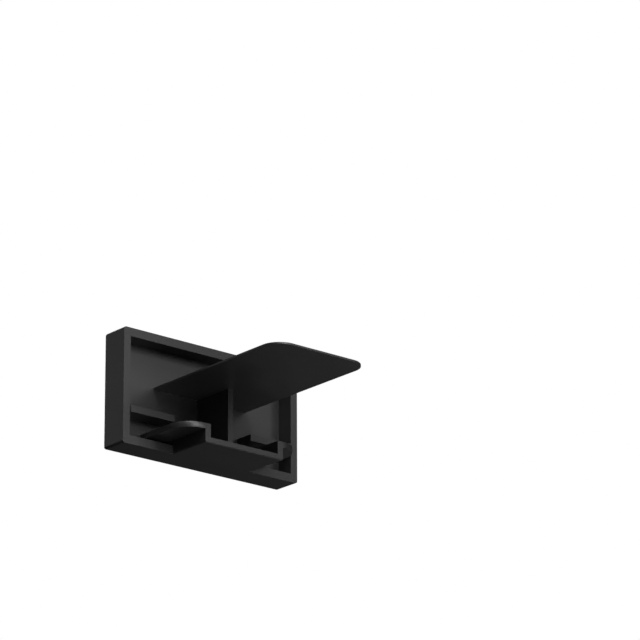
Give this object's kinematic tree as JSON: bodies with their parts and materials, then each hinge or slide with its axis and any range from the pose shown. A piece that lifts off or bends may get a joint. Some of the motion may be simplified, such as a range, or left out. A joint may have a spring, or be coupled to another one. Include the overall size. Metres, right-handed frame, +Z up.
{
  "type": "profile end cap",
  "caption": "Rectangular moulded end cap with a shallow recess, a flat guide tongue on a rib, and a channel skirt with rounded side shelves.",
  "frame": {"origin": "on the flat underside, half way along the cap, in the plane of the open rim that meets the profile", "axes": "+X along the long side, +Y out through the closed face, +Z up; the tongue points to -Y"},
  "size_m": [0.035, 0.0324, 0.019],
  "materials": {
    "body": "fine satin moulded black plastic"
  },
  "bodies": {
    "root": {"end_cap": "body"}
  },
  "joints": []
}
